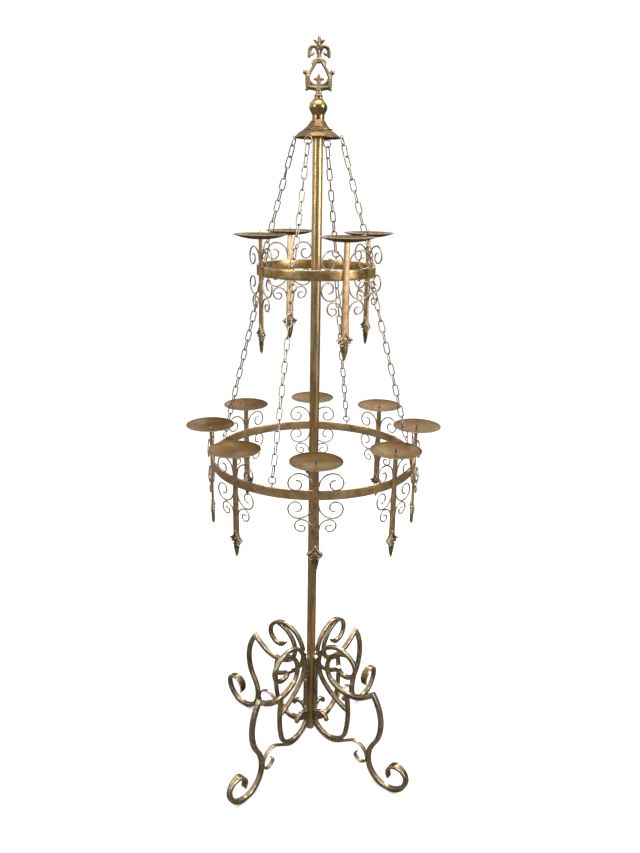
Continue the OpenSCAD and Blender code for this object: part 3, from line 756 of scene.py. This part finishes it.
def band(tier, name, body, material):
    """Flat hoop with rounded edges, four eyes on it and, in the upper tier, four below it."""
    r, z = tier["r"], tier["z"]
    inner, low = r - BAND_T, z - BAND_H
    c = 1.1
    section = [(inner + c, low), (r - c, low)] + arc((r - c, low + c), c, -60, 0, 30)
    section += [(r, z - BAND_H * 0.7), (r, z - BAND_H * 0.3), (r, z - c)]
    section += arc((r - c, z - c), c, 30, 90, 30)
    section += [(inner + c, z)] + arc((inner + c, z - c), c, 120, 180, 30)
    section += [(inner, z - BAND_H * 0.5)] + arc((inner + c, low + c), c, 180, 240, 30)
    ring = lathe(name, section, steps=240)
    heights = [z + EYE_UP] + ([low - EYE_UP] if tier is UPPER else [])
    loops = [eye_loop(EYE_R, -(r - BAND_T / 2), h) for h in heights]
    eyes = wires(name + "_eyes", loops, EYE_WIRE / 2, material, 10, 0.05, cyclic=True)
    eyes = around(eyes, 4, CHAIN_FIRST, material, name + "_eyes")
    node = body.replace("tier", "ring")
    keep(join(name + "_band", [ring, eyes]), body, [node], material)


def scroll_paths(y, z):
    """The six wire scrolls of a holder whose ring has its top edge at z."""
    big = (arc((43, 10), 35, 180, 90) + arc((43, 19), 26, 90, 0)[1:]
           + arc((50.5, 19), 18.5, 0, -90)[1:] + arc((50.5, 15.5), 15, 270, 180)[1:]
           + arc((46.5, 15.5), 11, 180, 90)[1:] + [(50.5, 26.5)])
    small = (arc((36, -26.5), 26.5, 180, 90) + arc((36, -16), 16, 90, 0)[1:]
             + arc((35.5, -16), 16.5, 0, -90)[1:] + arc((35.5, -23), 9.5, 270, 180)[1:]
             + arc((33.5, -23), 7.5, 180, 90)[1:] + [(37.5, -15.5), (41.5, -15.5)])
    paths = []
    for s in (-1, 1):
        paths.append([(s * x, y, z + 2 + h) for x, h in big])
        paths.append([(s * x, y, z - BAND_H - 2 - h) for x, h in big])
        paths.append([(s * x, y, z - BAND_H - 51 + h) for x, h in small])
    thinner = 0.92
    return [[(*p, 1.0 if i < len(path) - 2 else thinner) for i, p in enumerate(path)]
            for path in paths]


def stem_mesh(tier):
    """Tapered flat stem with rounded edges, outside the ring."""
    r, z = tier["r"], tier["z"]
    top, low = z + DISH_UP - DISH_DEPTH - DISH_WALL, z - STEM_DROP
    back, front = -r + 0.2, -r - STEM_T
    c, n = 1.0, 36
    d = c * 0.3
    rows = []
    for k in range(n + 1):
        t = k / n
        h = low + (top - low) * t
        w = (STEM_LOW_W + (STEM_TOP_W - STEM_LOW_W) * t) / 2
        outline = [(-w + c, back), (w - c, back), (w, back - c), (w, front + c),
                   (w - d, front + d), (w - c, front), (-w + c, front), (-w + d, front + d),
                   (-w, front + c), (-w, back - c)]
        rows.append([(x, y, h) for x, y in outline])
    m = len(rows[0])
    points = [p for row in rows for p in row]
    faces = [(k * m + i, k * m + (i + 1) % m, (k + 1) * m + (i + 1) % m, (k + 1) * m + i)
             for k in range(n) for i in range(m)]
    faces += [tuple(range(m)), tuple(n * m + i for i in range(m))]
    return mesh_of("stem", points, faces)


def leaf_mesh(tier):
    """Cast leaf: ribbed lobes like a palmette, front and back, and a pointed drop below."""
    y = -tier["r"] - STEM_T / 2
    cast = Casting()
    proud = 3.4
    ridges = ([(0, -148.5, 1.3), (2.4, -156, 2.6), (6.6, -164.4, 3.2), (13, -171, 3.6),
               (19.3, -173.4, 3.1)],
              [(1.5, -170, 1.8), (6, -177.6, 2.2), (12, -181, 2.6), (16.8, -180.8, 2.0)],
              [(1, -178, 1.7), (4.4, -185, 2.0), (9.2, -188, 2.0), (12.4, -187.6, 1.4)])

    def limb(points, flat=0.6, out=0.0):
        cast.limb([(x, y - out, tier["z"] + h, w) for x, h, w in points], flat)

    limb([(0, -160, 3.0), (0, -170, 6.0), (0, -180, 9.0), (0, -192, 10.6), (0, -200, 10.0),
          (0, -210, 7.9), (0, -219, 5.2), (0, -224.4, 2.6)], 0.5)
    for s in (-1, 1):
        limb([(s * 2, -171, 5.0), (s * 9, -177.5, 4.8), (s * 15, -178, 4.0)], 0.6)
    for out in (-proud, proud):
        limb([(0, -176, 1.5), (0, -190, 1.7), (0, -206, 1.6), (0, -220, 1.0)], 1.0, out * 1.1)
        for s in (-1, 1):
            for ridge in ridges:
                limb([(s * x, h, w) for x, h, w in ridge], 0.75, out)
    return cast.fuse("leaf", 0.86, 1)


def dish_mesh(tier):
    """Shallow dish with a rolled rim and a flat middle where the stem meets it."""
    r, z = tier["r"], tier["z"]
    flat, lip = 10, 1.0
    inside = [(flat + (DISH_R - flat - lip) * t, DISH_DEPTH * (t * t - 1))
              for t in (k / 14 for k in range(15))]
    under = [(p[0], p[1] - DISH_WALL) for p in inside]
    rim = arc((DISH_R - lip, -0.8), lip, -70, 130, 25)
    profile = [(0, -DISH_DEPTH - DISH_WALL)] + under + rim + inside[::-1]
    profile += [(4, -DISH_DEPTH), (0, -DISH_DEPTH)]
    return lathe("dish", profile, (0, -r - STEM_T / 2, z + DISH_UP), 72, 0.9)


def spike_mesh(tier):
    """Candle spike with a small foot, in the middle of the dish."""
    r, z = tier["r"], tier["z"]
    profile = [(0, 0), (4, 0), (4, 1.2), (3.6, 1.8), (2.9, 2.0), (2.5, 4), (1.9, 9), (1.2, 15),
               (0.6, 20), (0.25, 21.8), (0, 22)]
    return lathe("spike", profile, (0, -r - STEM_T / 2, z + DISH_UP - DISH_DEPTH), 20)


def tier_pieces(tier, word, names):
    """Everything that hangs and turns as one tier."""
    body = word + "_tier"
    count, first = tier["count"], tier["first"]
    band(tier, word + "_ring_hoop", body, BAND_GILT if tier is UPPER else WIDE_BAND_GILT)
    nodes = ["%s_holder_%s" % (word, n) for n in names]
    stems = around(stem_mesh(tier), count, first, STEM_GILT, word + "_stems")
    keep(stems, body, nodes)
    paths = scroll_paths(-tier["r"] - STEM_T / 2, tier["z"])
    scrolls = wires("scrolls", paths, SCROLL_WIRE / 2, WIRE_GILT)
    scrolls = around(scrolls, count, first, WIRE_GILT, word + "_wire_scrolls")
    keep(scrolls, body, nodes)
    leaves = around(leaf_mesh(tier), count, first, CAST_GILT, word + "_leaf_drops")
    keep(leaves, body, [word + "_leaves"])
    dishes = around(dish_mesh(tier), count, first, DISH_BRONZE, word + "_dishes")
    keep(dishes, body, ["%s_dish_%s" % (word, n) for n in names])
    spikes = around(spike_mesh(tier), count, first, SPIKE_IRON, word + "_spike_pins")
    keep(spikes, body, [word + "_spikes"])


# Chains

def chains(word, r0, z0, bow, r1, z1, links):
    """Four chains from eyes of radius bow around (r0, z0) to the ring's eyes around (r1, z1)."""
    run = math.dist((r0, z0), (r1, z1)) - bow - EYE_R
    lean = math.atan2(r1 - r0, z0 - z1)
    ring = (END_RING - LINK_WIRE) / 2
    top = (LINK_WIRE + EYE_WIRE) / 2 + RING_PLAY
    low = (LINK_WIRE + EYE_WIRE) / 2 + EYE_FREE
    lap = LINK_WIRE + LINK_GAP
    half = round(50 * (run - 4 * ring + (links + 1) * lap + top + low) / links) / 100
    first = 90 if links % 2 else 72
    hang = Matrix.Translation((0, -r0 * MM, z0 * MM)) @ Matrix.Rotation(-lean, 4, "X")
    for k, name in enumerate(POINTS):
        seed = new_object("seed", bpy.data.meshes.new("seed"))
        chain = run_tree(seed, CHAIN, {
            "Links": links, "Half Length": half * MM, "Link Width": LINK_W * MM,
            "Wire": LINK_WIRE * MM, "Ring Width": END_RING * MM, "Gap": LINK_GAP * MM,
            "Ring Top": (top - bow) * MM, "First Turn": math.radians(first),
            "Material": CHAIN_GILT}, "%s_chain_links_%s" % (word, name))
        turn = Matrix.Rotation(math.radians(CHAIN_FIRST + 90 * k), 4, "Z")
        chain.data.transform(turn @ hang)
        node = "%s_chain_%s" % (word, name)
        keep(chain, node, [node])


def canopy_eyes():
    """The wire eyes on the canopy's rim that the upper chains hang in."""
    loop = eye_loop(CANOPY_EYE, -CANOPY_EYE_R, CANOPY_Z + RIM_MID)
    eyes = wires("eyes", [loop], EYE_WIRE / 2, CHAIN_GILT, 10, 0.05, cyclic=True)
    eyes = around(eyes, 4, CHAIN_FIRST, CHAIN_GILT, "canopy_eye_rings")
    keep(eyes, "stand", ["canopy_eyes"])


# Legs

# A start is (radius, height, heading in degrees); a bend is (radius, turn in degrees), or a
# straight length with turn 0.
LEG_START = (239.8, 305.6, -53.5)
LEG_BENDS = [(156.8, -49.8), (122.8, -20.8), (101.9, 43), (67.9, 162.7)]
FOOT_BENDS = [(30.7, 75.3), (32.4, 147.6)]
FOOT_END = {"t": 4.5, "w": 19}
SHOULDER_START = (239.8, 305.6, -143.7)
SHOULDER_BENDS = [(36.1, 0), (108.7, -74)]
CURL_START = (108.1, 343.9, -89.8)
CURL_BENDS = [(22.1, 77.2), (36.6, 142.9), (70.9, 95.8), (90.1, 88.4), (232.3, 24.2), (8, 0)]
BRACE_START = (80.9, 283.9, 131.5)
BRACE_BENDS = [(62, -71.5), (83, -50), (8, 0)]
LOOP_START = (66.6, 124.4, 96.6)
LOOP_BENDS = [(22.3, 120), (30.4, 87), (65, 134), (314.3, 24.9), (8, 0)]
STRAP_BENDS = [(53.4, 0), (39.6, -124), (22.7, -144.9), (10, -100)]


def bend(pose, move, part=1.0):
    """Pose (radius, height, heading) after a part of one bend, or of a straight length."""
    x, z, h = pose
    size, turn = move
    if turn == 0:
        return (x + size * part * math.cos(math.radians(h)),
                z + size * part * math.sin(math.radians(h)), h)
    s = math.copysign(1, turn)
    e = h + turn * part
    return (x + s * size * (math.sin(math.radians(e)) - math.sin(math.radians(h))),
            z - s * size * (math.cos(math.radians(e)) - math.cos(math.radians(h))), e)


def walk(pose, moves, step=3.0):
    """Poses along bends, at most step degrees apart."""
    out = [pose]
    for move in moves:
        n = max(2, math.ceil(abs(move[1]) / step))
        start = out[-1]
        out += [bend(start, move, k / n) for k in range(1, n + 1)]
    return out


def in_plane(poses, shift):
    """Points at the front of the stand, moved out by shift; a fourth value is a scale."""
    return [(0, -(p[0] + shift), p[1], p[3] if len(p) > 3 else 1) for p in poses]


def least(pose, moves):
    """The least radius that the bends reach."""
    return min(p[0] for p in walk(pose, moves, 6))


def strap_path():
    """The strap leaves the foot loop's second bend, follows its outside and curls away."""
    off = (SCROLL_BAR + STRAP_T) / 2
    second, third = LOOP_BENDS[1], LOOP_BENDS[2]
    x, z, heading = bend(bend(LOOP_START, LOOP_BENDS[0]), second, 0.88)
    start = (x + off * math.sin(math.radians(heading)),
             z - off * math.cos(math.radians(heading)), heading)
    return walk(start, [(second[0] + off, second[1] * 0.12), (third[0] + off, 89.5)] + STRAP_BENDS)


def legs():
    """Legs with their shoulders, upper scrolls, foot loops, straps and mounting bars."""
    curl_shift = POLE_R + MOUNT_T + SCROLL_BAR / 2 - least(CURL_START, CURL_BENDS)
    loop_shift = POLE_R + SCROLL_BAR / 2 - 0.3 - least(LOOP_START, LOOP_BENDS)
    stem = [bend(LEG_START, (-LEG_BAR / 2, 0))] + walk(LEG_START, LEG_BENDS)
    foot = walk(stem[-1], FOOT_BENDS)[1:]
    thinner = FOOT_END["t"] / LEG_BAR - 1
    main = [p + (1.0,) for p in stem]
    main += [p + (1 + thinner * (k + 1) / len(foot),) for k, p in enumerate(foot)]
    steps = [math.dist(p[:2], q[:2]) for p, q in zip(main, main[1:])]
    spread = {"spread": FOOT_END["w"] / FOOT_END["t"],
              "spread_from": sum(steps[:len(stem) - 1]) / sum(steps)}

    def piece(label, nodes, width, corner, parts):
        """One kind of bar, of paths with their shifts, around the pole and clear of the floor."""
        made = [bars(label, in_plane(path, shift), width, depth, corner, LEG_GILT, **more)
                for path, shift, depth, more in parts]
        whole = join(label, made)
        for point in whole.data.vertices:
            point.co.z = max(point.co.z, 0)
        keep(around(whole, 4, LEG_FIRST, LEG_GILT, label), "stand", nodes)

    shoulder = walk(SHOULDER_START, SHOULDER_BENDS)
    piece("leg_bars", ["leg_" + n for n in SIDES], LEG_BAR, 1.8,
          [(main, 0, LEG_BAR, spread), (shoulder, 0, LEG_BAR, {})])
    curl, brace = walk(CURL_START, CURL_BENDS), walk(BRACE_START, BRACE_BENDS)
    piece("scroll_bars", ["scroll_" + n for n in SIDES], SCROLL_BAR, 1.6,
          [(curl, curl_shift, SCROLL_BAR, {}), (brace, 0, SCROLL_BAR, {})])
    loop = walk(LOOP_START, LOOP_BENDS)
    piece("loop_bars", ["loop_" + n for n in SIDES], SCROLL_BAR, 1.6,
          [(loop, loop_shift, SCROLL_BAR, {})])
    piece("foot_straps", ["straps"], STRAP_T, 1.2,
          [(strap_path(), loop_shift, SCROLL_BAR, {})])

    sunk = 1
    mount_y = -(POLE_R + (MOUNT_T - sunk) / 2)
    heights = list(range(MOUNT_BOTTOM, MOUNT_TOP, 11)) + [MOUNT_TOP]
    upright = bars("mount", [(0, mount_y, z) for z in heights], MOUNT_T + sunk, MOUNT_W, 1.4,
                   LEG_GILT)
    upright = around(upright, 4, LEG_FIRST, LEG_GILT, "upright_bars")
    keep(upright, "stand", ["mounting_bars"])


def screws():
    """Round-headed screws through the mounting bars, drawn upright and laid down."""
    r = POLE_R + MOUNT_T
    heads = []
    for z in SCREW_HEIGHTS:
        head = lathe("head", [(0, 8.5), (2.5, 8.5), (2.5, r), (4.5, r), (4.5, r + 1.1),
                              (4.1, r + 2.1), (3.2, r + 2.9), (1.8, r + 3.4), (0, r + 3.6)],
                     steps=24)
        laid = Matrix.Rotation(math.pi / 2, 4, "X")
        head.data.transform(Matrix.Translation((0, 0, z * MM)) @ laid)
        heads.append(head)
    done = around(join("heads", heads), 4, LEG_FIRST, SCREW_STEEL, "screw_heads")
    keep(done, "stand", ["mounting_screws"])


# Floor and light

def studio():
    """Pale floor in an even white room; the metal mirrors a darker room with bright windows."""
    SCENE.view_settings.view_transform = "Standard"
    mat = bpy.data.materials.new("pale_floor")
    mat.use_nodes = True
    mat.node_tree.nodes.clear()
    root = Sock(mat.node_tree)
    mirrored = root.add("ShaderNodeLightPath", None, None, "Is Glossy Ray")
    pale = root.add("ShaderNodeBsdfDiffuse", None, {"Color": (0.92, 0.92, 0.92, 1)})
    dim = root.add("ShaderNodeBsdfDiffuse", None, {"Color": (0.10, 0.088, 0.074, 1)})
    both = root.add("ShaderNodeMixShader", None, {0: mirrored, 1: pale, 2: dim})
    out = mat.node_tree.nodes.new("ShaderNodeOutputMaterial")
    mat.node_tree.links.new(both.out, out.inputs["Surface"])
    bpy.ops.mesh.primitive_circle_add(vertices=96, radius=60, fill_type="NGON")
    floor = bpy.context.object
    floor.name = "floor"
    floor.data.materials.append(mat)

    world = bpy.data.worlds.new("studio")
    world.use_nodes = True
    SCENE.world = world
    tree = world.node_tree
    tree.nodes.clear()
    sky = Sock(tree)
    way = sky.add("ShaderNodeTexCoord", None, None, "Generated")
    high = sky.add("ShaderNodeSeparateXYZ", None, {0: way}, "Z")
    level = sky.add("ShaderNodeVectorMath", {"operation": "MULTIPLY"}, {0: way, 1: (1, 1, 0)})
    level = sky.add("ShaderNodeVectorMath", {"operation": "NORMALIZE"}, {0: level})

    def window(azimuth, half, low, top, soft=8):
        """Mask of a tall window; azimuth from the front, positive to the right."""
        a = math.radians(azimuth)
        cosine = sky.add("ShaderNodeVectorMath", {"operation": "DOT_PRODUCT"},
                         {0: level, 1: (math.sin(a), -math.cos(a), 0)}, "Value")
        edge, core = math.radians(half + soft), math.radians(max(half - soft, 0))
        wide = cosine.between(math.cos(edge), math.cos(core))
        below = high.between(top - 0.15, top + 0.15)
        return wide * high.between(low - 0.12, low + 0.12) * (1 - below)

    tone = 0.30 + high.between(0.35, 0.95) * 1.0
    tone = tone + window(52, 12, -0.4, 0.55) * 1.9 + window(-75, 34, -0.4, 0.6) * 0.35
    tone = tone + window(-128, 10, -0.3, 0.6) * 1.1 + window(150, 12, -0.3, 0.5) * 0.8
    tone = tone * (1 - window(-10, 7, -0.6, 0.5, 5) * 0.75) * (1 - window(95, 16, -0.6, 0.4) * 0.6)
    warm = sky.add("ShaderNodeCombineColor", None, {0: tone, 1: tone * 0.955, 2: tone * 0.89})
    bounced = sky.add("ShaderNodeLightPath", None, None, "Is Glossy Ray")
    white = (1.14, 1.14, 1.14)
    shown = sky.mix(white, warm, bounced)
    back = sky.add("ShaderNodeBackground", None, {"Color": shown, "Strength": 1.0})
    out = tree.nodes.new("ShaderNodeOutputWorld")
    tree.links.new(back.out, out.inputs["Surface"])

    def panel(name, place, size, power, tall=None):
        """Soft light that looks at the middle of the stand."""
        data = bpy.data.lights.new(name, "AREA")
        data.energy = power
        data.size = size
        if tall:
            data.shape = "RECTANGLE"
            data.size_y = tall
        lamp = new_object(name, data)
        lamp.location = place
        lamp.rotation_mode = "QUATERNION"
        lamp.rotation_quaternion = (Vector((0, 0, 1.0)) - Vector(place)).to_track_quat("-Z", "Y")

    panel("window_left", (-2.6, -2.2, 2.6), 0.9, 30, 2.0)
    panel("window_right", (2.8, -1.6, 2.2), 0.8, 40, 2.0)
    panel("overhead", (0.0, -0.6, 4.2), 2.2, 60)
    panel("behind", (0.6, 3.0, 2.8), 1.6, 30, 0.8)


studio()
pole()
canopy()
canopy_eyes()
bulb()
finial()
tier_pieces(UPPER, "upper", SIDES)
tier_pieces(LOWER, "lower", EIGHT)
UPPER_MID = UPPER["r"] - BAND_T / 2
LOWER_MID = LOWER["r"] - BAND_T / 2
chains("upper", CANOPY_EYE_R, CANOPY_Z + RIM_MID, CANOPY_EYE, UPPER_MID, UPPER["z"] + EYE_UP, 10)
chains("lower", UPPER_MID, UPPER["z"] - BAND_H - EYE_UP, EYE_R, LOWER_MID, LOWER["z"] + EYE_UP, 16)
legs()
screws()

bpy.context.view_layer.update()
